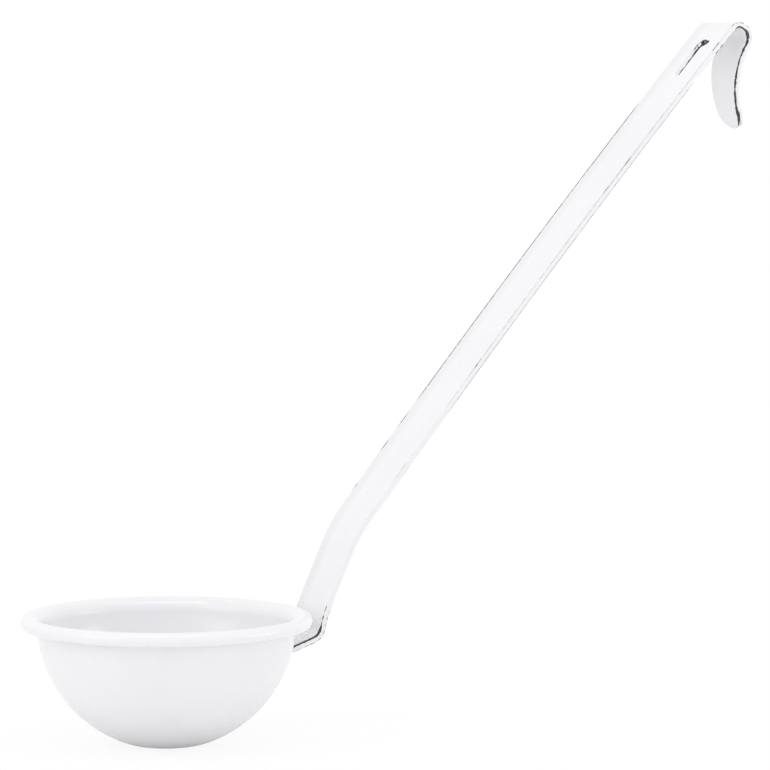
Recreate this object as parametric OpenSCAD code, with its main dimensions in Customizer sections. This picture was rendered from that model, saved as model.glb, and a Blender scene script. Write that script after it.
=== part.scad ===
// Enamelled steel ladle: a drawn bowl with a curled rim and a bent strip handle with a pot hook.
// The bowl stands on the origin with its mouth up, and the handle rises towards +X.

/* [Bowl] */
// Diameter over the curled rim
rim_d = 100; // [92:1:120]
// How far the curled rim stands out past the round body
rim_overhang = 5.6; // [4.5:0.1:7]
// How far the bottom of the ball is pressed flat
base_flatten = 1.2; // [0.3:0.05:2]
// Height of the ball's centre above the middle of the rim
rim_drop = 0.5; // [0:0.1:1.2]
// Height of the curled rim
bead_h = 4.8; // [4:0.1:5.6]
// Steel sheet of the bowl
sheet_t = 0.8; // [0.6:0.05:1]
// Free gap between the end of the curl and the wall
curl_gap = 0.1; // [0.05:0.05:0.2]

/* [Enamel] */
// Thickness of the fired enamel on every face
enamel_t = 0.25; // [0.2:0.05:0.4]

/* [Handle strip] */
// Steel strip of the handle
strip_t = 1.5; // [1.2:0.1:2]
// Width of the stem over its enamel
stem_w = 19.4; // [18.4:0.2:24]
// Width of the neck and the foot over their enamel
neck_w = 17.6; // [15:0.2:18.2]
// Rise over which the strip widens from neck to stem
widening_rise = 18; // [10:1:30]
// Slope of the wall where the foot leaves it, down from level
foot_angle = 20.5; // [18:0.5:24]
// Length of the foot along the wall
foot_len = 24; // [20:1:26]
// Radius of the bend between the foot and the arm under the rim
foot_bend_r = 2.75; // [2.5:0.25:3.5]
// Length of the arm under the rim
arm_len = 12.2; // [9:0.1:14]
// Slope of that arm
arm_angle = 18; // [14:1:22]
// Radius of the elbow
elbow_r = 5; // [4:0.25:6]
// Slope of the strip just above the elbow
elbow_angle = 78; // [74:1:84]
// Radius of the lean above the elbow
lean_r = 35; // [28:1:45]
// Length of the straight neck
neck_len = 19; // [14:1:26]
// Slope of the neck
neck_angle = 63.5; // [60:0.5:68]
// Radius of the bend between neck and stem
neck_bend_r = 60; // [40:1:80]
// Slope of the stem at its foot
stem_foot_angle = 48; // [47:0.5:56]
// Slope of the stem at its top
stem_top_angle = 44.9; // [40:0.1:46.8]
// Length of the stem between its bends
stem_len = 234; // [160:0.5:260]

/* [Hook] */
// Radius of the hook's inner face
hook_r = 3.9; // [3.5:0.1:6]
// Slope of the tab below the hook, from straight down back towards the stem
tab_angle = 17; // [10:1:20]
// Straight length of the tab
tab_straight = 7.5; // [5:0.5:10]
// Radius of the curve of the tab
tab_curve_r = 27.5; // [23:0.5:45]
// Drop of the tab below the hook
tab_drop = 31.4; // [26:0.2:33]
// Width of the tab below its shoulders
tab_w = 15.2; // [14.4:0.2:17]
// Width of the tab at its tip
tip_w = 11.4; // [10:0.2:13]
// Height of the tab's hollow shoulders
shoulder_h = 9; // [6:0.5:11]

/* [Hanging slot] */
// Length of the slot inside the enamel
slot_len = 18; // [12:0.5:22]
// Width of the slot inside the enamel
slot_w = 4.4; // [4.2:0.1:7]
// Distance from the slot's middle to the hook's bend
slot_to_hook = 16.2; // [13.2:0.2:30]

/* [Spot welds] */
// Diameter of a weld nugget
nugget_d = 5; // [4:0.5:6]
// Depth of the mark that the electrode leaves
weld_mark_depth = 0.3; // [0.1:0.05:0.4]
// Diameter of that mark
weld_mark_d = 6; // [5:0.5:7]

/* [Hidden] */
$fn = 128;

// Largest reach of any cut
cut_reach = rim_d * 5;
// Extra length of what another shape trims
overrun = 4;
// Overlap where two bands of the bowl's section run into each other
lap = 0.05;
// Longest step along a slack bend, and largest turn in one step of a tight one
bend_step_len = 20;
bend_step_angle = 6;
// Places of the welds along the foot, as shares of its length
weld_place_shares = [0.3, 0.66];
// Depth of a nugget into each sheet, as a share of that sheet
nugget_depth_share = 0.5;

// Outer radius of the round body
body_r = rim_d / 2 - rim_overhang;

// Heights above the flat base
ball_h = body_r - base_flatten;
rim_h = ball_h - rim_drop;
ball_centre = [0, ball_h];

// Faces of the steel bowl
steel_r = body_r - enamel_t;
steel_in_r = steel_r - sheet_t;
steel_bead = bead_h / 2 - enamel_t;

// The lip is an arc that runs from the inner wall to the crest of the bead, touching both
bead_r = (rim_d - bead_h) / 2;
lip_rise = steel_bead - rim_drop;
lip_r = (pow(bead_r, 2) + pow(lip_rise, 2) - pow(steel_in_r, 2)) / (2 * (steel_in_r + lip_rise));
bead_centre = [bead_r, rim_h];
lip_centre = [bead_r, rim_h + steel_bead - lip_r];
under_centre = [bead_r, rim_h - steel_bead + lip_r];
lip_angle = atan2(lip_centre.y - ball_h, bead_r);

// Middle of the strip where the foot lies on the wall
foot_r = steel_r + strip_t / 2;
foot_turn = foot_len / foot_r * 180 / PI;
foot_start = foot_angle + foot_turn + overrun / foot_r * 180 / PI;
foot_end_h = ball_h - foot_r * sin(foot_angle + foot_turn);

// Middle radius of the hook's bend
hook_mid_r = hook_r + enamel_t + strip_t / 2;

// The tab's curve turns until it is as low as the tip
tab_fall_share = (tab_drop + strip_t - tab_straight * cos(tab_angle)) / tab_curve_r;
tab_curve_turn = tab_angle + asin(min(tab_fall_share - sin(tab_angle), 1));

// A bend as [length, turn], from its middle radius and the slopes at its two ends
function bend(r, from, to) = [r * abs(to - from) * PI / 180, to - from];

// Runs of the strip, each as [length, turn], in the order of the strip from foot to tip
wall_run = bend(foot_r, 90 - foot_start, 90 - foot_angle);
foot_runs = [wall_run, bend(foot_bend_r, 90 - foot_angle, arm_angle), [arm_len, 0]];
neck_runs = [
  bend(elbow_r, arm_angle, elbow_angle),
  bend(lean_r, elbow_angle, neck_angle),
  [neck_len, 0],
  bend(neck_bend_r, neck_angle, stem_foot_angle),
];
stem_run = [stem_len, stem_top_angle - stem_foot_angle];
hook_run = bend(hook_mid_r, stem_top_angle, -90 - tab_angle);
tab_runs = [[tab_straight, 0], bend(tab_curve_r, 0, tab_curve_turn)];

// A place on the strip as [x, z, slope]. It is moved on by a run or by a share of one.
function moved(p, run, share = 1) =
  let (len = run[0] * share, turn = run[1] * share)
  turn == 0
    ? [p.x + len * cos(p.z), p.y + len * sin(p.z), p.z]
    : let (r = len / turn * 180 / PI)
      [p.x + r * (sin(p.z + turn) - sin(p.z)), p.y - r * (cos(p.z + turn) - cos(p.z)), p.z + turn];
function moved_by(p, runs, i = 0) = i == len(runs) ? p : moved_by(moved(p, runs[i]), runs, i + 1);

// Places along a list of runs, close enough for a smooth bend
function steps(run) = run[1] == 0 ? 1 : ceil(max(abs(run[1]) / bend_step_angle, run[0] / bend_step_len));
function places(p, runs, i = 0) =
  i == len(runs)
    ? [p]
    : concat([for (k = [0 : steps(runs[i]) - 1]) moved(p, runs[i], k / steps(runs[i]))],
             places(moved(p, runs[i]), runs, i + 1));

// The same places with both ends moved out
function longer(line, by) =
  let (last = len(line) - 1)
  [for (k = [0 : last]) k == 0 ? moved(line[0], [-by, 0]) : k == last ? moved(line[last], [by, 0]) : line[k]];

// A point beside a place, positive on the side that faces the bowl's mouth
function beside(p, side) = [p.x - side * sin(p.z), p.y + side * cos(p.z)];

// Where the runs begin and end
foot_place = [foot_r * cos(foot_start), ball_h - foot_r * sin(foot_start), 90 - foot_start];
arm_place = moved_by(foot_place, [foot_runs[0], foot_runs[1]]);
elbow_place = moved(arm_place, foot_runs[2]);
stem_place = moved_by(elbow_place, neck_runs);
hook_place = moved(stem_place, stem_run);
tab_place = moved(hook_place, hook_run);
hook_centre = beside(hook_place, -hook_mid_r);
slot_place = moved(stem_place, stem_run, 1 - slot_to_hook / stem_len);
widening_h = moved_by(elbow_place, [neck_runs[0], neck_runs[1], neck_runs[2]]).y;

// Tab: its tip, and the arc that hollows each shoulder
tip_h = tab_place.y - tab_drop + tip_w / 2;
shoulder_in = (stem_w - tab_w) / 2;
shoulder_r = (pow(shoulder_in, 2) + pow(shoulder_h, 2)) / (2 * shoulder_in);
tab_gap_x = (slot_place.x + tab_place.x) / 2;

// Weld marks are shallow dishes of this radius
weld_mark_r = (pow(weld_mark_d / 2, 2) + pow(weld_mark_depth, 2)) / (2 * weld_mark_depth);

// Flat shapes of the bowl's section, with the axis at the left

module wedge(centre, from, to) {
  third = (to - from) / 3;
  translate(centre)
    polygon([
      [0, 0],
      cut_reach * [cos(from), sin(from)],
      cut_reach * [cos(from + third), sin(from + third)],
      cut_reach * [cos(to - third), sin(to - third)],
      cut_reach * [cos(to), sin(to)],
    ]);
}

module disc(centre, r) {
  translate(centre) circle(r);
}

module ring(centre, r, t) {
  difference() {
    disc(centre, r);
    disc(centre, r - t);
  }
}

// Everything inside a face of the body that lies this deep under the enamel's outside
module body_fill(depth) {
  intersection() {
    disc(ball_centre, body_r - depth);
    translate([0, depth]) square([cut_reach, cut_reach]);
  }
}

// Wall of the body, from the axis up to the lip. skin adds enamel to both faces.
module wall_band(skin) {
  intersection() {
    difference() {
      body_fill(enamel_t - skin);
      body_fill(enamel_t + sheet_t + skin);
    }
    wedge(ball_centre, -90, lip_angle);
  }
}

// Lip, from the wall to the crest of the bead
module lip_band(skin) {
  overlap_angle = lap / lip_r * 180 / PI;
  intersection() {
    ring(lip_centre, lip_r + skin, sheet_t + 2 * skin);
    wedge(lip_centre, 90 - overlap_angle, 180 + lip_angle + overlap_angle);
  }
}

// The bead as if it were full
module bead_fill(skin) {
  intersection() {
    disc(lip_centre, lip_r + skin);
    disc(under_centre, lip_r + skin);
    translate([0, rim_h - bead_h]) square([bead_r + lap, 2 * bead_h]);
  }
  intersection() {
    disc(bead_centre, steel_bead + skin);
    translate([bead_r, rim_h - bead_h]) square(2 * bead_h);
  }
}

module steel_fill(skin) {
  wall_band(skin);
  lip_band(skin);
  bead_fill(skin);
}

// Steel sheet of the bowl: wall, lip, and the curl that comes back to the wall
module steel_section() {
  wall_band(0);
  lip_band(0);
  intersection() {
    ring(bead_centre, steel_bead, sheet_t);
    translate([bead_r - lap, rim_h - bead_h]) square(2 * bead_h);
  }
  intersection() {
    ring(under_centre, lip_r, sheet_t);
    disc(lip_centre, lip_r - sheet_t - curl_gap);
    translate([0, rim_h - bead_h]) square([bead_r + lap, 2 * bead_h]);
  }
}

module enamel_section() {
  difference() {
    steel_fill(enamel_t);
    steel_fill(0);
  }
}

// Flat shapes of the handle

// Side view of the strip along a list of runs. skin adds enamel to its faces and ends.
module side_view(start, runs, skin) {
  line = longer(places(start, runs), skin);
  half = strip_t / 2 + skin;
  polygon(concat(
    [for (p = line) beside(p, half)],
    [for (k = [len(line) - 1 : -1 : 0]) beside(line[k], -half)]
  ));
}

// Front view of the foot: a tongue with a round end
module foot_front(skin) {
  half = neck_w / 2 - enamel_t + skin;
  end_centre_h = foot_end_h + neck_w / 2;
  translate([0, end_centre_h]) circle(half);
  translate([-half, end_centre_h]) square([2 * half, rim_h]);
}

// Front view of the neck and stem
module stem_front(skin) {
  neck_half = neck_w / 2 - enamel_t + skin;
  stem_half = stem_w / 2 - enamel_t + skin;
  wide_h = widening_h + widening_rise;
  top_h = stem_place.y + stem_len;
  polygon([
    [-neck_half, 0],
    [neck_half, 0],
    [neck_half, widening_h],
    [stem_half, wide_h],
    [stem_half, top_h],
    [-stem_half, top_h],
    [-stem_half, wide_h],
    [-neck_half, widening_h],
  ]);
}

// Front view of the tab: hollow shoulders, a slight taper and a round tip
module tab_front(skin) {
  grown = skin - enamel_t;
  shoulder_foot_h = tab_place.y - shoulder_h;
  top_h = tab_place.y + overrun;
  top_half = tab_w / 2 + grown;
  tip_half = tip_w / 2 + grown;
  polygon([
    [-top_half, top_h],
    [top_half, top_h],
    [top_half, shoulder_foot_h],
    [tip_half, tip_h],
    [-tip_half, tip_h],
    [-top_half, shoulder_foot_h],
  ]);
  translate([0, tip_h]) circle(tip_half);
  difference() {
    translate([-stem_w, shoulder_foot_h]) square([2 * stem_w, top_h - shoulder_foot_h]);
    for (side = [-1, 1])
      translate([side * (tab_w / 2 + shoulder_r), shoulder_foot_h]) circle(shoulder_r - grown);
  }
}

module slot_outline(skin) {
  half = slot_w / 2 + enamel_t - skin;
  straight = slot_len - slot_w;
  square([straight, 2 * half], center = true);
  for (side = [-1, 1])
    translate([side * straight / 2, 0]) circle(half);
}

// Solid shapes

// Stands a side view up in the XZ plane
module across(w) {
  rotate([90, 0, 0]) linear_extrude(height = w, center = true) children();
}

// Runs a front view along X
module along(reach) {
  rotate([90, 0, 90]) linear_extrude(height = reach) children();
}

// Turns something from the ball's centre towards a place on the foot
module at_foot(share) {
  translate([0, 0, ball_h]) rotate([0, foot_angle + foot_turn * share, 0]) children();
}

// Foot and arm are turned about the bowl's axis, so that they lie on the wall
module foot(skin) {
  intersection() {
    difference() {
      rotate_extrude() side_view(foot_place, foot_runs, skin);
      for (share = weld_place_shares)
        at_foot(share)
          translate([foot_r + strip_t / 2 + weld_mark_r - weld_mark_depth, 0, 0]) sphere(weld_mark_r - skin);
    }
    along(rim_d) foot_front(skin);
  }
}

module stem_and_hook(skin) {
  runs = concat([foot_runs[2]], neck_runs, [stem_run, hook_run], tab_runs);
  difference() {
    intersection() {
      across(2 * stem_w) side_view(arm_place, runs, skin);
      along(cut_reach) stem_front(skin);
    }
    difference() {
      translate([tab_gap_x, -stem_w, 0]) cube([cut_reach, 2 * stem_w, tab_place.y]);
      along(cut_reach) tab_front(skin);
    }
    translate([slot_place.x, 0, slot_place.y])
      rotate([0, -slot_place.z, 0])
        linear_extrude(height = 2 * overrun, center = true) slot_outline(skin);
    hook_bore(hook_r + enamel_t - skin);
  }
}

// Trims the hook's inner face to a true round
module hook_bore(r) {
  translate([hook_centre.x, 0, hook_centre.y])
    rotate([90, 0, 0]) cylinder(r = r, h = 2 * stem_w, center = true);
}

module body_ball(r) {
  translate([0, 0, ball_h]) sphere(r);
}

module handle_solid(skin) {
  difference() {
    union() {
      foot(skin);
      stem_and_hook(skin);
    }
    body_ball(steel_r);
  }
}

module nuggets() {
  bottom_r = steel_r - sheet_t * nugget_depth_share;
  top_r = steel_r + strip_t * nugget_depth_share;
  for (share = weld_place_shares)
    at_foot(share)
      translate([bottom_r, 0, 0]) rotate([0, 90, 0]) cylinder(d = nugget_d, h = top_r - bottom_r);
}

// Pieces of the ladle

module bowl_pressing() {
  color("dimgray")
    difference() {
      rotate_extrude() steel_section();
      nuggets();
    }
}

module handle_strip() {
  color("gray")
    difference() {
      handle_solid(0);
      nuggets();
    }
}

module spot_welds() {
  color("darkorange") nuggets();
}

// The bowl's enamel leaves out the patch where the foot is welded to bare steel
module bowl_enamel() {
  color("ghostwhite")
    difference() {
      rotate_extrude() enamel_section();
      foot(enamel_t);
    }
}

module handle_enamel() {
  color("white")
    difference() {
      handle_solid(enamel_t);
      handle_solid(0);
    }
}

bowl_pressing();
handle_strip();
spot_welds();
bowl_enamel();
handle_enamel();
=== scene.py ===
import math
import bmesh
import bpy
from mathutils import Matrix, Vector


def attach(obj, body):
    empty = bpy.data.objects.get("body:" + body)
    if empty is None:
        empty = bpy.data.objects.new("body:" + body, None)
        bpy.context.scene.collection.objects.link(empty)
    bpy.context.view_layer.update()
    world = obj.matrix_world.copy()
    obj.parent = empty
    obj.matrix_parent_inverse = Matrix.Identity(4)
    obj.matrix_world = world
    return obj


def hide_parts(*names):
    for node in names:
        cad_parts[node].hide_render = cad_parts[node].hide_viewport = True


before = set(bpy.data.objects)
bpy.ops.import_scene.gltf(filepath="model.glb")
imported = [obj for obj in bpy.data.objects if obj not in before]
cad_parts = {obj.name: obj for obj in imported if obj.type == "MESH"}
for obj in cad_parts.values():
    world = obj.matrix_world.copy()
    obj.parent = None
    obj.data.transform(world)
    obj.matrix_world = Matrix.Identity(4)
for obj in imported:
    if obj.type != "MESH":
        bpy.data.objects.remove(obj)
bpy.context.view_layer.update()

MM = 0.001

# Sizes of the bowl over its enamel, in millimetres, as the CAD model has them

BODY_R = 44.4
BALL_H = 43.2
WALL_T = 1.3
RIM_H = 42.7
BEAD_R = 47.6
BEAD_HALF = 2.4
LIP_R = 4.575
KNUCKLE_R = 25.0
CREASE_R = 0.15

# Outline and thickness of the strip over its enamel, in millimetres. It widens between two heights over
# the bowl's bottom, and the welds are placed by their length from the foot's end.

STRIP_HALF = 1.0
NECK_HALF = 8.8
STEM_HALF = 9.7
WIDEN_FROM = 61.96
WIDEN_TO = 79.96
SLOT_HALF = 2.2
SLOT_LEN = 18.0
SLOT_TO_HOOK = 16.2
TAB_HALF = 7.6
TIP_HALF = 5.7
TAB_DROP = 31.4
SHOULDER_H = 9.0
SHOULDER_R = 20.336
ARRIS_R = 0.34
FILLET_REACH = 1.3
FILLET_FADE = 6.0
WELDS = (7.2, 15.84)
WELD_MARK_R = 3.0
WELD_MARK_DEPTH = 0.3

# The path of the strip's middle, from the foot to the tab's tip: millimetres, and slopes in degrees

FOOT_R = 44.9
FOOT_ANGLE = 20.5
FOOT_LEN = 24.0
FOOT_BEND_R = 2.75
ARM_ANGLE = 18.0
ARM_LEN = 12.2
ELBOW_R = 5.0
ELBOW_ANGLE = 78.0
LEAN_R = 35.0
NECK_ANGLE = 63.5
NECK_LEN = 19.0
NECK_BEND_R = 60.0
STEM_FOOT_ANGLE = 48.0
STEM_TOP_ANGLE = 44.9
STEM_LEN = 234.0
HOOK_R = 4.9
TAB_ANGLE = 17.0
TAB_STRAIGHT = 7.5
TAB_CURVE_R = 27.5
TAB_CURVE_TURN = 62.0

# Colours of the enamel, its dark ground coat, the painted shade along the strip's far edge, the steel and
# the floor

PURE_WHITE = (0.873, 0.869, 0.877, 1.0)
COOL_WHITE = (0.853, 0.852, 0.867, 1.0)
SPECK_GREY = (0.55, 0.56, 0.58, 1.0)
# Grey of the painted shade along the far edge of the strip's front face
FAR_EDGE_SHADE_GREY = (0.74, 0.75, 0.76, 1.0)
THIN_GREY = (0.30, 0.30, 0.33, 1.0)
GROUND_COAT = (0.012, 0.012, 0.016, 1.0)
DULL_STEEL = (0.32, 0.32, 0.33, 1.0)
LIGHT_STEEL = (0.44, 0.44, 0.45, 1.0)
FLOOR_GREY = (0.955, 0.955, 0.955, 1.0)
FLOOR_WHITE = (0.965, 0.965, 0.965, 1.0)
BACKDROP_WHITE = (1.0, 1.0, 1.0, 1.0)
SKY_WHITE = (0.98, 0.985, 1.0, 1.0)


# Shader writing

class Wire:
    """A socket of a node tree. Sums and products of wires add the Math nodes that work them out."""

    def __init__(self, sheet, socket):
        self.sheet = sheet
        self.socket = socket

    def __add__(self, other):
        return self.sheet.maths("ADD", self, other)

    def __radd__(self, other):
        return self.sheet.maths("ADD", other, self)

    def __sub__(self, other):
        return self.sheet.maths("SUBTRACT", self, other)

    def __rsub__(self, other):
        return self.sheet.maths("SUBTRACT", other, self)

    def __mul__(self, other):
        return self.sheet.maths("MULTIPLY", self, other)

    def __rmul__(self, other):
        return self.sheet.maths("MULTIPLY", other, self)


class Sheet:
    """The node tree of one finish."""

    def __init__(self, tree):
        self.tree = tree
        tree.nodes.clear()

    def node(self, kind, settings=None, inputs=None, output=0):
        """Adds a node, sets its settings, then its sockets, and gives one of its outputs."""
        made = self.tree.nodes.new(kind)
        for name, value in (settings or {}).items():
            setattr(made, name, value)
        for name, value in (inputs or {}).items():
            socket = made.inputs[name]
            if isinstance(value, Wire):
                self.tree.links.new(value.socket, socket)
            else:
                socket.default_value = value
        return Wire(self, made.outputs[output]) if made.outputs else None

    def maths(self, operation, a, b):
        return self.node("ShaderNodeMath", {"operation": operation}, {0: a, 1: b})

    def above(self, value, low, high):
        """0 below low, 1 above high, smooth between."""
        return self.node(
            "ShaderNodeMapRange",
            {"interpolation_type": "SMOOTHSTEP"},
            {"Value": value, "From Min": low, "From Max": high, "To Min": 0.0, "To Max": 1.0},
        )

    def spread(self, value, low, high):
        """Turns 0 to 1 into low to high."""
        return value * (high - low) + low

    def noise(self, place, scale, detail, roughness=0.5):
        sockets = {"Vector": place, "Scale": scale, "Detail": detail, "Roughness": roughness}
        return self.node("ShaderNodeTexNoise", None, sockets)

    def given(self, name):
        """A value that the shape carries at its points."""
        return self.node("ShaderNodeAttribute", {"attribute_name": name}, output="Fac")

    def place(self, scale=(1.0, 1.0, 1.0)):
        """Object coordinates. A pattern on them is drawn out where scale is below 1."""
        spot = self.node("ShaderNodeTexCoord", output="Object")
        return self.node("ShaderNodeMapping", None, {"Vector": spot, "Scale": scale})

    def blend(self, amount, first, second):
        """Colours: first where amount is 0, second where it is 1."""
        sockets = {"Factor": amount, 6: first, 7: second}
        return self.node("ShaderNodeMix", {"data_type": "RGBA"}, sockets, output=2)

    def bump(self, height, depth, strength):
        sockets = {"Height": height, "Distance": depth, "Strength": strength}
        return self.node("ShaderNodeBump", None, sockets)

    def surface(self, shader):
        self.node("ShaderNodeOutputMaterial", None, {"Surface": shader})


def new_finish(name):
    material = bpy.data.materials.new(name)
    material.use_nodes = True
    return material, Sheet(material.node_tree)


def bare_arrises_and_far_shade(sheet, spot, colour, rough, height):
    """Lets the ground coat through at the arrises, as far as the shape's own values say, and paints shade
    along the far edge.
    """
    edge = sheet.given("edge")
    bare = sheet.given("bare")
    breaks = sheet.noise(spot, scale=420.0, detail=3.0, roughness=0.62)
    gaps = sheet.noise(spot, scale=260.0, detail=3.0, roughness=0.7)
    frays = sheet.noise(spot, scale=1500.0, detail=2.0)

    # Painted shade: the front face greys towards its far edge
    colour = sheet.blend(sheet.given("far_edge_shade") * 0.4, colour, FAR_EDGE_SHADE_GREY)
    beside = 1.0 - sheet.above(edge, 0.12, 0.40)
    thin = beside * sheet.given("thin") * sheet.above(gaps, 0.34, 0.60)
    colour = sheet.blend(thin, colour, THIN_GREY)

    ragged = sheet.spread(sheet.above(breaks, 0.32, 0.58), 0.55, 1.15)
    reach = bare * ragged + bare * (frays - 0.5) * 0.45
    dark = (1.0 - sheet.above(edge - reach, -0.05, 0.05)) * sheet.above(reach, 0.02, 0.08)
    colour = sheet.blend(dark, colour, GROUND_COAT)
    return colour, rough + dark * 0.22, height - dark * 0.35


def white_enamel(name, arris_wear_and_shade):
    """Glossy white enamel over a dark ground coat, which shows where the white drew back from an arris, and
    painted shade on the strip's far edge.
    """
    material, sheet = new_finish(name)
    spot = sheet.place()

    cloud = sheet.noise(spot, scale=28.0, detail=3.0)
    mottle = sheet.noise(spot, scale=190.0, detail=3.0, roughness=0.6)
    coolness = sheet.above(cloud * 0.75 + mottle * 0.25, 0.40, 0.66)
    colour = sheet.blend(coolness, PURE_WHITE, COOL_WHITE)
    specks = sheet.above(sheet.noise(spot, scale=900.0, detail=1.0), 0.77, 0.80)
    colour = sheet.blend(specks * 0.25, colour, SPECK_GREY)

    rough = sheet.spread(cloud, 0.07, 0.17)
    waves = sheet.noise(spot, scale=75.0, detail=1.5)
    peel = sheet.noise(spot, scale=520.0, detail=2.0)
    height = waves * 0.7 + peel * 0.08
    # Arris wear, and painted shade along the far edge of the strip
    if arris_wear_and_shade:
        colour, rough, height = bare_arrises_and_far_shade(sheet, spot, colour, rough, height)

    sockets = {
        "Base Color": colour,
        "Roughness": rough,
        "IOR": 1.52,
        "Normal": sheet.bump(height, depth=0.12 * MM, strength=0.5),
    }
    sheet.surface(sheet.node("ShaderNodeBsdfPrincipled", None, sockets))
    return material


def sheet_steel():
    """Dull drawn steel, which the enamel hides."""
    material, sheet = new_finish("sheet_steel")
    grain = sheet.noise(sheet.place((1.0, 1.0, 0.06)), scale=1400.0, detail=3.0)
    patches = sheet.noise(sheet.place(), scale=60.0, detail=2.0)
    sockets = {
        "Base Color": sheet.blend(sheet.above(patches, 0.3, 0.7), DULL_STEEL, LIGHT_STEEL),
        "Metallic": 1.0,
        "Roughness": sheet.spread(grain, 0.34, 0.52),
        "Normal": sheet.bump(grain, depth=0.03 * MM, strength=0.4),
    }
    sheet.surface(sheet.node("ShaderNodeBsdfPrincipled", None, sockets))
    return material


# Bowl

QUARTER = math.pi / 2
KNUCKLE_STEPS = 8
WALL_STEPS = 72
CREASE_STEPS = 6
UNDER_LIP_STEPS = 10
BEAD_STEPS = 28
LIP_STEPS = 16
STEPS_ROUND = 224
SECTION_MERGE = 0.004 * MM
BOWL_MERGE = 0.002 * MM


def joint_of_circles(c1, r1, c2, r2, side):
    """Where two circles cross. side picks which of the two points."""
    a, b = Vector(c1), Vector(c2)
    gap = (b - a).length
    along = (gap * gap + r1 * r1 - r2 * r2) / (2 * gap)
    off = math.sqrt(r1 * r1 - along * along)
    u = (b - a) / gap
    return a + u * along + Vector((-u.y, u.x)) * off * side


def slope_to(start, end):
    return math.atan2(end[1] - start[1], end[0] - start[0])


def draw_arc(bm, centre, r, start, end, steps):
    """An arc of the section, in the XZ plane, from one angle to another."""
    x, z = centre
    spot = bm.verts.new(((x + r * math.cos(start)) * MM, 0.0, (z + r * math.sin(start)) * MM))
    bmesh.ops.spin(
        bm,
        geom=[spot],
        cent=(x * MM, 0.0, z * MM),
        axis=(0.0, -1.0, 0.0),
        angle=end - start,
        steps=steps,
        use_merge=False,
    )


def draw_bowl_section(bm):
    """From the outer bottom up the wall, under the lip, round the bead and down the inside."""
    ball = (0.0, BALL_H)
    bead = (BEAD_R, RIM_H)
    lip = (BEAD_R, RIM_H + BEAD_HALF - LIP_R)
    under_lip = (BEAD_R, RIM_H - BEAD_HALF + LIP_R)
    crease = joint_of_circles(ball, BODY_R + CREASE_R, under_lip, LIP_R + CREASE_R, -1)
    flat = BODY_R - BALL_H
    knuckle = (math.sqrt(flat * (2 * (BODY_R - KNUCKLE_R) - flat)), KNUCKLE_R)

    knuckle_end = slope_to(ball, knuckle)
    wall_end = slope_to(ball, crease)
    under_start = slope_to(under_lip, crease)
    lip_end = math.pi + slope_to(ball, lip)

    draw_arc(bm, knuckle, KNUCKLE_R, -QUARTER, knuckle_end, KNUCKLE_STEPS)
    draw_arc(bm, ball, BODY_R, knuckle_end, wall_end, WALL_STEPS)
    draw_arc(bm, crease, CREASE_R, wall_end + math.pi, under_start - math.pi, CREASE_STEPS)
    draw_arc(bm, under_lip, LIP_R, under_start, -QUARTER, UNDER_LIP_STEPS)
    draw_arc(bm, bead, BEAD_HALF, -QUARTER, QUARTER, BEAD_STEPS)
    draw_arc(bm, lip, LIP_R, QUARTER, lip_end, LIP_STEPS)
    draw_arc(bm, ball, BODY_R - WALL_T, lip_end - math.pi, knuckle_end, WALL_STEPS)
    draw_arc(bm, knuckle, KNUCKLE_R - WALL_T, knuckle_end, -QUARTER, KNUCKLE_STEPS)


def shape_bowl():
    """Section of the enamelled wall, lip and bead, spun about the bowl's axis."""
    bm = bmesh.new()
    draw_bowl_section(bm)
    bmesh.ops.remove_doubles(bm, verts=bm.verts[:], dist=SECTION_MERGE)
    ends = sorted((v for v in bm.verts if len(v.link_edges) == 1), key=lambda v: v.co.z)
    for end in ends:
        centre = bm.verts.new((0.0, 0.0, end.co.z))
        bm.edges.new((centre, end))
    bmesh.ops.spin(
        bm,
        geom=bm.verts[:] + bm.edges[:],
        cent=(0.0, 0.0, 0.0),
        axis=(0.0, 0.0, 1.0),
        angle=2 * math.pi,
        steps=STEPS_ROUND,
        use_merge=True,
    )
    bmesh.ops.remove_doubles(bm, verts=bm.verts[:], dist=BOWL_MERGE)
    bmesh.ops.recalc_face_normals(bm, faces=bm.faces[:])
    return bm


# Path of the handle's strip

def bend(r, start, end):
    """Length and turn of a bend from one slope to another."""
    return (r * math.radians(abs(end - start)), end - start)


FOOT_TURN = math.degrees(FOOT_LEN / FOOT_R)
RUNS = (
    (FOOT_LEN, FOOT_TURN),
    bend(FOOT_BEND_R, 90.0 - FOOT_ANGLE, ARM_ANGLE),
    (ARM_LEN, 0.0),
    bend(ELBOW_R, ARM_ANGLE, ELBOW_ANGLE),
    bend(LEAN_R, ELBOW_ANGLE, NECK_ANGLE),
    (NECK_LEN, 0.0),
    bend(NECK_BEND_R, NECK_ANGLE, STEM_FOOT_ANGLE),
    (STEM_LEN, STEM_TOP_ANGLE - STEM_FOOT_ANGLE),
    bend(HOOK_R, STEM_TOP_ANGLE, -90.0 - TAB_ANGLE),
    (TAB_STRAIGHT, 0.0),
    bend(TAB_CURVE_R, 0.0, TAB_CURVE_TURN),
)
STARTS = [sum(run[0] for run in RUNS[:count]) for count in range(len(RUNS) + 1)]
FOOT_TOP, ARM_START, ELBOW_START, ELBOW_END = STARTS[1:5]
STEM_START, HOOK_START, HOOK_END = STARTS[7:10]
PATH_END = STARTS[-1]
SLOT_MID = HOOK_START - SLOT_TO_HOOK
SLOT_FOOT = SLOT_MID - SLOT_LEN / 2
SLOT_TOP = SLOT_MID + SLOT_LEN / 2
LEAST_TURN = 1e-9


def share(value):
    """Keeps a value between 0 and 1."""
    return min(max(value, 0.0), 1.0)


def moved(x, z, slope, length, turn):
    """Place and slope after a straight or evenly bent stretch."""
    a = math.radians(slope)
    if abs(turn) < LEAST_TURN:
        return x + length * math.cos(a), z + length * math.sin(a), slope
    r = length / math.radians(turn)
    b = math.radians(slope + turn)
    return x + r * (math.sin(b) - math.sin(a)), z - r * (math.cos(b) - math.cos(a)), slope + turn


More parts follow.
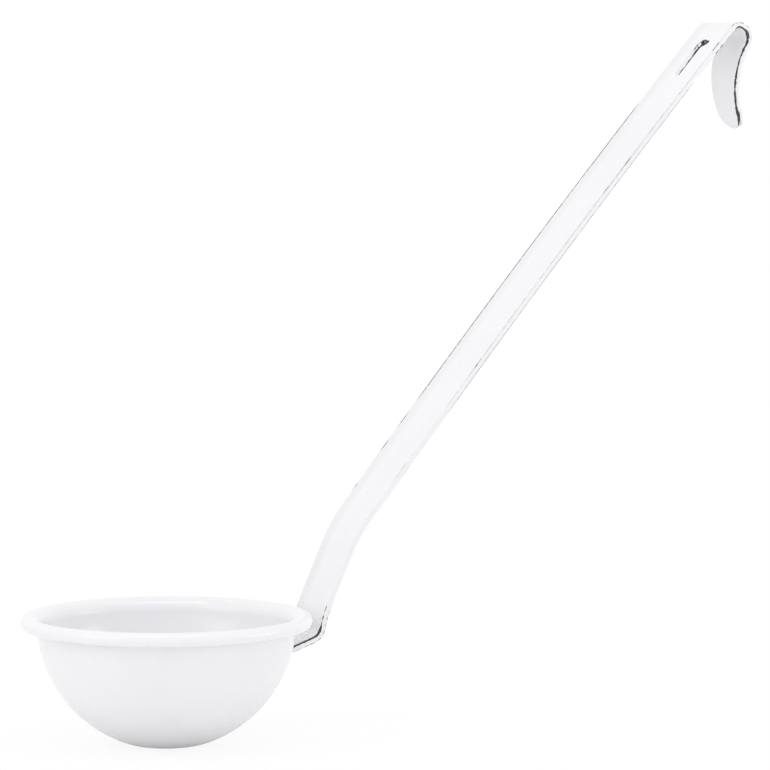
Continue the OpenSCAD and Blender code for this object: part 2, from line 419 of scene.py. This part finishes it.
def place_on_strip(s):
    """Place and slope of the strip's middle at a length from the foot's end."""
    start = math.radians(FOOT_ANGLE + FOOT_TURN)
    x, z = FOOT_R * math.cos(start), BALL_H - FOOT_R * math.sin(start)
    slope = 90.0 - FOOT_ANGLE - FOOT_TURN
    for length, turn in RUNS:
        part = min(s, length) / length
        x, z, slope = moved(x, z, slope, length * part, turn * part)
        s -= length
        if s <= 0:
            break
    return x, z, slope


def find_length(low, high, height):
    """The length at which a falling stretch of the strip passes a height."""
    for _ in range(50):
        middle = (low + high) / 2
        if place_on_strip(middle)[1] > height:
            low = middle
        else:
            high = middle
    return low


FOOT_END_H = place_on_strip(0.0)[1]
TAB_TOP_H = place_on_strip(HOOK_END)[1]
TAB_END_H = TAB_TOP_H - TAB_DROP
TAB_END = find_length(HOOK_END, PATH_END, TAB_END_H)


# Outline of the strip

def round_end(r, depth):
    """Half-width of a round end, at a depth from its furthest point."""
    return math.sqrt(max(r * r - (r - min(depth, r)) ** 2, 0.0))


def tab_half(height):
    """Half-width of the tab: hollow shoulders, a taper and a round tip."""
    depth = TAB_TOP_H - height
    if depth < SHOULDER_H:
        return TAB_HALF + SHOULDER_R - math.sqrt(SHOULDER_R ** 2 - (SHOULDER_H - depth) ** 2)
    taper_end = TAB_DROP - TIP_HALF
    if depth < taper_end:
        return TAB_HALF - (TAB_HALF - TIP_HALF) * (depth - SHOULDER_H) / (taper_end - SHOULDER_H)
    return round_end(TIP_HALF, height - TAB_END_H)


def half_width(s):
    """Half-width of the strip at a length from the foot's end."""
    height = place_on_strip(s)[1]
    if s < FOOT_TOP:
        return round_end(NECK_HALF, height - FOOT_END_H)
    if s < HOOK_START:
        widened = share((height - WIDEN_FROM) / (WIDEN_TO - WIDEN_FROM))
        return NECK_HALF + (STEM_HALF - NECK_HALF) * widened
    if s < HOOK_END:
        return STEM_HALF
    return tab_half(height)


def slot_half(s):
    """Half-width of the slot, 0 where there is none."""
    from_middle = abs(s - SLOT_MID)
    return round_end(SLOT_HALF, SLOT_LEN / 2 - from_middle) if from_middle < SLOT_LEN / 2 else 0.0


def to_outline(s, w):
    """How far a point of the strip lies inside its outline."""
    if NECK_HALF <= s <= TAB_END - TIP_HALF:
        return half_width(s) - abs(w)
    r = NECK_HALF if s < NECK_HALF else TIP_HALF
    end_h = FOOT_END_H if s < NECK_HALF else TAB_END_H
    return r - math.hypot(abs(w), end_h + r - place_on_strip(s)[1])


def to_slot(s, w):
    """How far a point of the strip lies from the slot."""
    past_straight = max(abs(s - SLOT_MID) - (SLOT_LEN / 2 - SLOT_HALF), 0.0)
    return math.hypot(past_straight, w) - SLOT_HALF


# Wear of the white along the arrises

def bump_at(s, centre, reach):
    """1 at a length along the strip, falling smoothly to 0 at a reach from it."""
    d = abs(s - centre) / reach
    return (1 - d * d) ** 2 if d < 1 else 0.0


def between(s, start, end, ease):
    """1 between two lengths, with a soft start and end."""
    return share((s - start) / ease + 1.0) * share((end - s) / ease + 1.0)


# Short marks: length along the strip, reach either way, and millimetres of bare ground coat

NEAR_FRONT_MARKS = (
    (47.2, 0.9, 0.34), (49.4, 0.8, 0.28), (51.2, 0.7, 0.20),
    (156.0, 2.5, 0.20), (240.0, 3.0, 0.13), (253.5, 5.0, 0.17),
    (310.5, 1.2, 0.22), (312.9, 1.9, 0.28),
    (322.9, 1.0, 0.13), (324.6, 0.9, 0.12), (326.7, 1.2, 0.13), (329.2, 1.0, 0.11),
)
NEAR_BACK_MARKS = (
    (31.5, 0.9, 0.27), (34.6, 0.9, 0.27), (37.2, 0.9, 0.27), (40.4, 0.9, 0.27),
    (42.6, 0.9, 0.27), (45.3, 0.9, 0.27), (47.6, 0.9, 0.27), (50.2, 0.9, 0.27),
    (194.0, 6.0, 0.10), (214.0, 3.0, 0.12), (229.5, 4.0, 0.12),
    (310.8, 1.4, 0.34), (313.9, 1.5, 0.34), (318.0, 3.0, 0.08),
)
FAR_FRONT_MARKS = ((97.5, 1.8, 0.45), (116.5, 4.0, 0.50), (129.0, 5.0, 0.42))

# Long lines: start and end along the strip, length of their soft ends, and millimetres of bare ground coat

ELBOW_LINE = (ARM_START - 1.0, ELBOW_END - 0.5, 2.5, 0.62)
HOOK_LINE = (HOOK_START + 2.8, HOOK_END + 3.0, 2.3, 0.58)
TAB_LINE = (HOOK_END + 13.0, TAB_END - 5.5, 6.0, 0.56)
NEAR_FRONT_LINES = ((138.0, 300.0, 8.0, 0.05),)
NEAR_BACK_LINES = ((140.0, 290.0, 8.0, 0.135), (HOOK_END + 3.0, HOOK_END + 15.0, 3.0, 0.42))
FAR_FRONT_LINES = ((140.0, 279.5, 3.0, 0.44),)

# Where those lines swell, as the short marks are written
HOOK_SWELLS = ((HOOK_END - 2.5, 4.5, 0.20),)
TAB_SWELLS = ((TAB_END - 5.0, 4.5, 0.30),)

# In the slot: a mark at the top of the near arris, and a line up the far one, which widens upwards
SLOT_MARKS = ((SLOT_TOP - 0.4, 2.6, 1.7),)
SLOT_LINE = (SLOT_FOOT + 1.2, SLOT_TOP + 1.0, 0.6, 1.0)
SLOT_LINE_FOOT = 0.37
SLOT_LINE_GROWTH = 0.75

# Where the white has thinned to grey beside an arris: as above, but the last number is a share of full grey

NEAR_FRONT_THIN_MARKS = ((106.0, 14.0, 0.36), (250.0, 18.0, 0.22), (325.5, 5.0, 0.35))
NEAR_FRONT_THIN_LINES = ((152.0, 318.0, 6.0, 0.30), (ARM_START, 46.0, 5.0, 0.50))
NEAR_BACK_THIN_MARKS = ((205.0, 28.0, 0.16), (314.0, 10.0, 0.20))
NEAR_BACK_THIN_LINES = ((100.0, 320.0, 8.0, 0.34), (ARM_START, 50.0, 5.0, 0.55))
FAR_THIN = 0.12

# Painted shade along the far edge of the front face: where it starts, and over how much it grows, as shares
# of the half-width
FAR_SHADE_START = 0.4
FAR_SHADE_EASE = 0.3


def marks(s, spots):
    """Sum of some short marks at a length along the strip."""
    return sum(strength * bump_at(s, centre, reach) for centre, reach, strength in spots)


def line(s, stretch):
    """Strength of a long line at a length along the strip."""
    start, end, ease, strength = stretch
    return strength * between(s, start, end, ease)


def bare_width(s, spots, stretches):
    return max(marks(s, spots), *(line(s, stretch) for stretch in stretches))


def thinness(s, spots, stretches):
    return marks(s, spots) + sum(line(s, stretch) for stretch in stretches)


def slot_wear(s, near, front):
    """Bare ground coat at the top of the slot's near front arris and along its far back one."""
    if near and front:
        return marks(s, SLOT_MARKS)
    if near or front:
        return 0.0
    risen = share((s - SLOT_FOOT) / SLOT_LEN)
    return line(s, SLOT_LINE) * (SLOT_LINE_FOOT + SLOT_LINE_GROWTH * risen * risen)


def wear(s, w, t, in_slot):
    """At an arris: millimetres of bare ground coat, and how far the white beside it has thinned to grey."""
    # Near is the side towards the camera, front the face that looks over the bowl
    near, front = w < 0, t > 0
    if in_slot:
        return slot_wear(s, near, front), 0.0
    if near and front:
        # The elbow's line lies mostly on the face, and less of it on the side
        spread = 1.25 if t > 0.97 * STRIP_HALF else 0.45
        bare = max(spread * line(s, ELBOW_LINE), bare_width(s, NEAR_FRONT_MARKS, NEAR_FRONT_LINES))
        return bare, thinness(s, NEAR_FRONT_THIN_MARKS, NEAR_FRONT_THIN_LINES)
    if near:
        hook = line(s, HOOK_LINE) + marks(s, HOOK_SWELLS)
        tab = line(s, TAB_LINE) + marks(s, TAB_SWELLS)
        bare = max(hook, tab, bare_width(s, NEAR_BACK_MARKS, NEAR_BACK_LINES))
        return bare, thinness(s, NEAR_BACK_THIN_MARKS, NEAR_BACK_THIN_LINES)
    if front:
        return bare_width(s, FAR_FRONT_MARKS, FAR_FRONT_LINES), FAR_THIN
    return 0.0, FAR_THIN


def far_edge_shade_at(s, w, t):
    """How strongly shade is painted in a grey band along the far edge of the front face."""
    if t < 0 or s < ELBOW_END:
        return 0.0
    return share((w / half_width(s) - FAR_SHADE_START) / FAR_SHADE_EASE)


# Handle

# Rows of points come closer together where the strip bends or its outline turns, in millimetres
FOOT_ROW = 0.8
FOOT_BEND_ROW = 0.3
ARM_ROW = 1.0
ELBOW_ROW = 0.4
NECK_ROW = 1.2
STEM_ROW = 2.0
SLOT_ROW = 1.0
HOOK_ROW = 0.35
TOP_ROW = 0.8
LEAST_ROW = 0.004

# Rows of the round ends: how far they reach, and how many there are
FOOT_END_ROWS = (8.0, 12)
TAB_END_ROWS = (7.0, 14)
SLOT_END_ROWS = (SLOT_HALF, 8)

# Lines of points along the strip, as shares of the way from the slot or the middle to the outline
COLUMNS = (0.0, 0.12, 0.4, 0.7, 0.9, 1.0)
BLANK_MERGE = 0.0005


def evenly(start, end, step):
    """Rows from a length up to another, without the last."""
    count = max(1, math.ceil((end - start) / step))
    return [start + (end - start) * k / count for k in range(count)]


def round_rows(end, way, size):
    """Rows of a round end, from its furthest point, closer together there."""
    reach, count = size
    return [end + way * reach * (1 - math.cos(QUARTER * k / count)) for k in range(count + 1)]


def strip_rows():
    """Lengths at which the strip has a row of points."""
    foot_round, tab_round = FOOT_END_ROWS[0], TAB_END_ROWS[0]
    spots = round_rows(0.0, 1, FOOT_END_ROWS)
    spots += evenly(foot_round, FOOT_TOP, FOOT_ROW)
    spots += evenly(FOOT_TOP, ARM_START, FOOT_BEND_ROW)
    spots += evenly(ARM_START, ELBOW_START, ARM_ROW)
    spots += evenly(ELBOW_START, ELBOW_END, ELBOW_ROW)
    spots += evenly(ELBOW_END, STEM_START, NECK_ROW)
    spots += evenly(STEM_START, SLOT_FOOT, STEM_ROW)
    spots += round_rows(SLOT_FOOT, 1, SLOT_END_ROWS)
    spots += evenly(SLOT_FOOT + SLOT_HALF, SLOT_TOP - SLOT_HALF, SLOT_ROW)
    spots += round_rows(SLOT_TOP, -1, SLOT_END_ROWS)
    spots += evenly(SLOT_TOP, HOOK_START, TOP_ROW)
    spots += evenly(HOOK_START, HOOK_END, HOOK_ROW)
    spots += evenly(HOOK_END, TAB_END - tab_round, TOP_ROW)
    spots += round_rows(TAB_END, -1, TAB_END_ROWS)
    rows = []
    for spot in sorted(spots):
        if not rows or spot - rows[-1] > LEAST_ROW:
            rows.append(spot)
    return rows


def flat_blank():
    """The flat strip with its slot, as a sheet of faces in millimetres: length, width, thickness."""
    rows = strip_rows()
    last_row, last_column = len(rows) - 1, len(COLUMNS) - 1
    bm = bmesh.new()
    bmesh.ops.create_grid(bm, x_segments=last_row, y_segments=last_column, size=0.5)
    for v in bm.verts:
        s = rows[round((v.co.x + 0.5) * last_row)]
        across = COLUMNS[round((v.co.y + 0.5) * last_column)]
        inner, outer = slot_half(s), half_width(s)
        v.co = (s, inner + (outer - inner) * across, -STRIP_HALF)
    bmesh.ops.remove_doubles(bm, verts=bm.verts[:], dist=BLANK_MERGE)
    everything = bm.verts[:] + bm.edges[:] + bm.faces[:]
    bmesh.ops.mirror(bm, geom=everything, axis="Y", merge_dist=BLANK_MERGE)
    bmesh.ops.recalc_face_normals(bm, faces=bm.faces[:])
    return bm


def thicken(bm):
    """Raises the sheet twice by half the thickness, which leaves a line of points round its sides."""
    layer = bm.faces[:]
    for _ in range(2):
        grown = bmesh.ops.extrude_face_region(bm, geom=layer)
        raised = [g for g in grown["geom"] if isinstance(g, bmesh.types.BMVert)]
        bmesh.ops.translate(bm, verts=raised, vec=(0.0, 0.0, STRIP_HALF))
        layer = [g for g in grown["geom"] if isinstance(g, bmesh.types.BMFace)]
    bmesh.ops.recalc_face_normals(bm, faces=bm.faces[:])


def round_arrises(bm):
    """Bevels every sharp arris of the thickened strip."""
    sharp = math.radians(60)
    arrises = [e for e in bm.edges if len(e.link_faces) == 2 and e.calc_face_angle(0.0) > sharp]
    bmesh.ops.bevel(
        bm,
        geom=arrises,
        offset=ARRIS_R,
        offset_type="OFFSET",
        segments=3,
        profile=0.5,
        affect="EDGES",
        material=-1,
        clamp_overlap=True,
    )
    bmesh.ops.remove_doubles(bm, verts=bm.verts[:], dist=BLANK_MERGE)


def mark_wear_and_far_shade(bm):
    """Gives each point its distance from the nearest arris, what the finish shows there, and its painted
    far-edge shade.
    """
    edge = bm.verts.layers.float.new("edge")
    bare = bm.verts.layers.float.new("bare")
    thin = bm.verts.layers.float.new("thin")
    far_edge_shade = bm.verts.layers.float.new("far_edge_shade")
    for v in bm.verts:
        s, w, t = v.co
        s = min(max(s, 0.0), TAB_END)
        outline, slot = to_outline(s, w), to_slot(s, w)
        nearest = min(outline, slot)
        to_face = STRIP_HALF - abs(t)
        at_arris = to_face < ARRIS_R or nearest < ARRIS_R
        v[edge] = max(nearest, to_face, 0.0) if at_arris else nearest
        v[bare], v[thin] = wear(s, w, t, slot < outline)
        # Painted shade along the far edge of the front face
        v[far_edge_shade] = far_edge_shade_at(s, w, t)


def weld_mark(s, w, t):
    """Depth of the dishes that the weld electrodes left in the back of the foot."""
    if t >= 0:
        return 0.0
    aways = (math.hypot(s - weld, w) / WELD_MARK_R for weld in WELDS)
    return sum(WELD_MARK_DEPTH * (1 - away * away) for away in aways if away < 1)


def fillet_spread(s, t):
    """How far the coat of the foot runs out onto the wall along the foot's outline, in millimetres."""
    return FILLET_REACH * max(t, 0.0) * share((FOOT_TOP + FILLET_FADE / 2 - s) / FILLET_FADE)


def bent(s, w, t):
    """Takes a point of the flat strip to its place: length, distance across, distance off the middle."""
    x, z, slope = place_on_strip(s)
    a = math.radians(slope)
    x, z = x - t * math.sin(a), z + t * math.cos(a)
    on_wall = share((ELBOW_START - s) / (ELBOW_START - ARM_START))
    x -= on_wall * (x - math.sqrt(x * x - w * w))
    return Vector((x * MM, w * MM, z * MM))


def bend_strip(bm):
    """Presses the weld marks, lets the coat run out round the foot, and bends the strip along its path."""
    for v in bm.verts:
        s, w, t = v.co
        s = min(max(s, 0.0), TAB_END)
        t += weld_mark(s, w, t)
        out = fillet_spread(s, t)
        if out > 0 and to_outline(s, w) < ARRIS_R + 0.01:
            past_round = NECK_HALF - min(s, NECK_HALF)
            away = max(math.hypot(past_round, w), 0.001)
            s, w = s - out * past_round / away, w + out * w / away
        v.co = bent(s, w, t)


def shape_handle():
    """A flat blank with its slot, given its thickness and round arrises, then bent along its path."""
    bm = flat_blank()
    thicken(bm)
    round_arrises(bm)
    mark_wear_and_far_shade(bm)
    bend_strip(bm)
    bmesh.ops.recalc_face_normals(bm, faces=bm.faces[:])
    return bm


# Making the pieces

def make_piece(name, bm, material):
    mesh = bpy.data.meshes.new(name)
    bm.to_mesh(mesh)
    bm.free()
    for face in mesh.polygons:
        face.use_smooth = True
    mesh.materials.append(material)
    piece = bpy.data.objects.new(name, mesh)
    bpy.context.scene.collection.objects.link(piece)
    return piece


bowl_white = white_enamel("bowl_white_enamel", False)
handle_white = white_enamel("handle_white_enamel", True)
steel = sheet_steel()

bowl = make_piece("bowl_coat", shape_bowl(), bowl_white)
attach(bowl, "root")
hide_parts("bowl_enamel")

handle = make_piece("handle_coat", shape_handle(), handle_white)
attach(handle, "root")
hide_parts("handle_enamel")

for name in ("bowl_pressing", "handle_strip", "spot_welds"):
    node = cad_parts[name]
    node.data.materials.clear()
    node.data.materials.append(steel)


# Floor, light and camera, in metres

FLOOR_HALF = 3.0
FLOOR_GAP = 0.05 * MM
SHADOW_MIDDLE = (0.02, 0.0, 0.0)
SHADOW_NEAR, SHADOW_FAR = 0.03, 0.14
WHITE_NEAR, WHITE_FAR = 0.90, 1.0
WHITE_IN_GLOSS = 0.45
SKY_STRENGTH = 0.9


def floor_finish():
    """Matt near-white floor, which the camera and the gloss see whiter the farther it is from the bowl."""
    material, sheet = new_finish("floor_pale")
    spot = sheet.place()
    grain = sheet.noise(spot, scale=90.0, detail=3.0)
    colour = sheet.blend(grain, FLOOR_GREY, FLOOR_WHITE)
    matt = sheet.node("ShaderNodeBsdfDiffuse", None, {"Color": colour, "Roughness": 0.0})
    white = sheet.node("ShaderNodeEmission", None, {"Color": BACKDROP_WHITE, "Strength": 1.0})
    ends = {0: spot, 1: SHADOW_MIDDLE}
    away = sheet.node("ShaderNodeVectorMath", {"operation": "DISTANCE"}, ends, output="Value")
    camera_ray = sheet.node("ShaderNodeLightPath", output="Is Camera Ray")
    glossy_ray = sheet.node("ShaderNodeLightPath", output="Is Glossy Ray")
    far = sheet.spread(sheet.above(away, SHADOW_NEAR, SHADOW_FAR), WHITE_NEAR, WHITE_FAR)
    seen = far * (camera_ray + glossy_ray * WHITE_IN_GLOSS)
    sheet.surface(sheet.node("ShaderNodeMixShader", None, {0: seen, 1: matt, 2: white}))
    return material


def light_sky():
    """An even, dim sky, which the camera and mirrored rays see as plain white."""
    world = bpy.data.worlds.new("studio")
    bpy.context.scene.world = world
    world.use_nodes = True
    sky = Sheet(world.node_tree)
    seen = sky.node("ShaderNodeLightPath", output="Is Camera Ray")
    mirrored = sky.node("ShaderNodeLightPath", output="Is Glossy Ray")
    passed = sky.node("ShaderNodeLightPath", output="Is Transmission Ray")
    shown = sky.maths("MINIMUM", seen + mirrored + passed, 1.0)
    fill = sky.node("ShaderNodeBackground", None, {"Color": SKY_WHITE, "Strength": SKY_STRENGTH})
    white = sky.node("ShaderNodeBackground", None, {"Color": BACKDROP_WHITE, "Strength": 1.0})
    both = sky.node("ShaderNodeMixShader", None, {0: shown, 1: fill, 2: white})
    sky.node("ShaderNodeOutputWorld", None, {"Surface": both})


def aimed(thing, place, target):
    """Links a lamp or camera, facing a point."""
    thing.location = place
    thing.rotation_euler = (Vector(target) - Vector(place)).to_track_quat("-Z", "Y").to_euler()
    bpy.context.scene.collection.objects.link(thing)


def add_softbox(name, place, target, width, height, power):
    lamp = bpy.data.lights.new(name, "AREA")
    lamp.shape = "RECTANGLE"
    lamp.size = width
    lamp.size_y = height
    lamp.energy = power
    aimed(bpy.data.objects.new(name, lamp), place, target)


def add_camera():
    data = bpy.data.cameras.new("photo_camera")
    data.lens = 204.21
    data.sensor_width = 36.0
    data.sensor_fit = "HORIZONTAL"
    camera = bpy.data.objects.new("photo_camera", data)
    aimed(camera, place=(-0.7877, -1.2605, 0.2438), target=(0.0635, -0.0397, 0.1235))
    bpy.context.scene.camera = camera


floor_grid = bmesh.new()
bmesh.ops.create_grid(floor_grid, x_segments=8, y_segments=8, size=FLOOR_HALF)
bmesh.ops.translate(floor_grid, verts=floor_grid.verts[:], vec=(0.0, 0.0, -FLOOR_GAP))
floor = make_piece("floor", floor_grid, floor_finish())

light_sky()
add_softbox("roof_light", (-0.25, -0.35, 1.5), (0.05, 0.0, 0.1), width=1.2, height=0.25, power=2.9)
add_softbox("left_light", (-1.5, -0.1, 0.7), (0.05, 0.0, 0.1), width=1.0, height=1.2, power=2.9)
add_softbox("right_light", (1.1, -1.0, 0.25), (0.0, 0.0, 0.03), width=0.8, height=0.4, power=2.0)
add_camera()
bpy.context.scene.view_settings.view_transform = "Standard"
